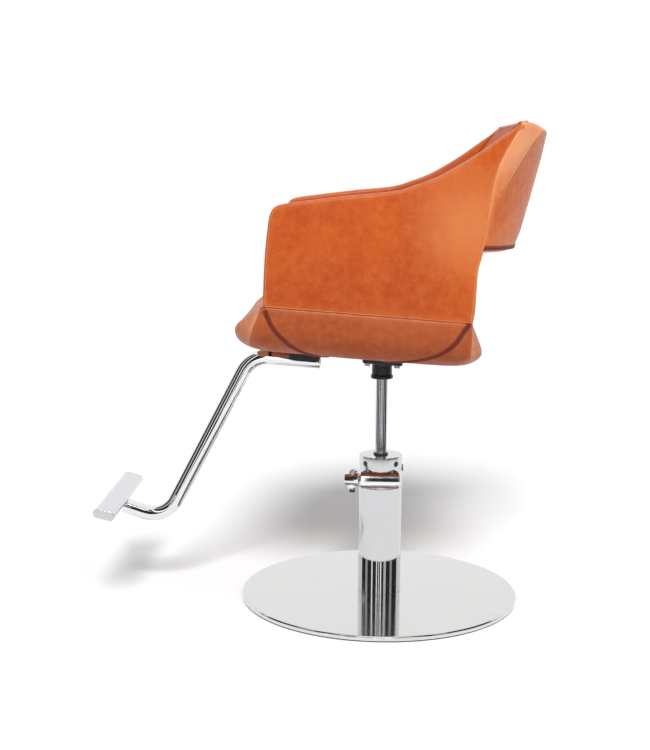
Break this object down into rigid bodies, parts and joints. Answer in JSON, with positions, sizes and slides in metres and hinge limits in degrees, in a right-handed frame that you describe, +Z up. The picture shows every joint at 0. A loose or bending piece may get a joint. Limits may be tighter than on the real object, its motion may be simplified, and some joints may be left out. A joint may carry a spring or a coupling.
{
  "type": "styling chair",
  "caption": "Hair salon styling chair: leather tub seat with an open gap under a curved backrest, hydraulic pump column, round steel base and a bent-tube T-bar footrest.",
  "frame": {"origin": "centre of the base plate's underside, on the floor and on the pump's axis", "axes": "+Z up; the sitter faces -Y; the sitter's left hand is at +X"},
  "size_m": [0.635, 0.984, 1.0861],
  "materials": {
    "base_steel": "polished",
    "chrome": "polished",
    "bolt_steel": "satin",
    "dark_steel": "satin",
    "black_casting": "satin",
    "rubber": "matte",
    "bronze": "satin",
    "plywood": "matte",
    "shell_leather": "satin",
    "seat_leather": "satin"
  },
  "bodies": {
    "base": {"base_plate": "base_steel", "base_gasket": "rubber", "base_screw_1": "dark_steel", "base_screw_2": "dark_steel", "base_screw_3": "dark_steel", "base_screw_4": "dark_steel", "column_foot": "dark_steel", "column_collar": "chrome", "column_tube": "chrome", "pump_barrel": "dark_steel", "stop_sleeve": "bronze", "pump_head": "chrome", "head_screw_1": "dark_steel", "head_screw_2": "dark_steel", "rod_bush": "bronze", "wiper_seal": "rubber", "lever_housing": "chrome", "plunger_guide": "bronze", "plunger_spring": "bolt_steel"},
    "lift": {"piston": "dark_steel", "piston_seal": "rubber", "thrust_washer": "bronze", "piston_screw": "dark_steel"},
    "seat": {"piston_rod": "chrome", "seat_hub": "black_casting", "seat_spacer": "plywood", "hub_bolt_1": "bolt_steel", "hub_bolt_2": "bolt_steel", "hub_bolt_3": "bolt_steel", "hub_bolt_4": "bolt_steel", "seat_board": "plywood", "front_strap": "dark_steel", "rear_strap": "dark_steel", "side_frame_left": "plywood", "side_frame_right": "plywood", "side_screw_left_1": "dark_steel", "side_screw_left_2": "dark_steel", "side_screw_right_1": "dark_steel", "side_screw_right_2": "dark_steel", "back_frame": "plywood", "arm_pad_left": "shell_leather", "arm_pad_right": "shell_leather", "backrest_pad": "shell_leather", "seat_cushion": "seat_leather", "underside_panel": "seat_leather", "footrest_bracket": "black_casting", "footrest_bolt_1": "bolt_steel", "footrest_bolt_2": "bolt_steel", "footrest_bolt_3": "bolt_steel", "footrest_bolt_4": "bolt_steel", "footrest_tube": "chrome", "footrest_bar": "chrome", "bar_end_cap_left": "chrome", "bar_end_cap_right": "chrome"},
    "lever": {"cam_shaft": "dark_steel", "lever_collar": "chrome", "lever_bar": "chrome", "lever_grip": "rubber", "lever_clamp_bolt": "dark_steel"},
    "plunger": {"plunger": "bolt_steel"}
  },
  "joints": [
    {"name": "seat_lift", "type": "slide", "parent": "base", "child": "lift", "axis": [0, 0, 1], "range_m": [-0.16, 0]},
    {"name": "seat_swivel", "type": "hinge", "parent": "lift", "child": "seat", "pos_m": [0, 0, 0.228], "axis": [0, 0, 1], "continuous": true},
    {"name": "pump_lever", "type": "hinge", "parent": "base", "child": "lever", "pos_m": [0.044, 0, 0.284], "axis": [0, -1, 0], "range_deg": [0, 28], "stiffness_Nm_per_rad": 5, "springref_deg": -20.05},
    {"name": "plunger_slide", "type": "slide", "parent": "base", "child": "plunger", "axis": [0, 0, 1], "range_m": [-0.0072, 0], "deforming": ["plunger_spring"]}
  ],
  "couplings": [
    {"joint": "plunger_slide", "follows": "pump_lever", "m_per_rad": -0.014}
  ]
}
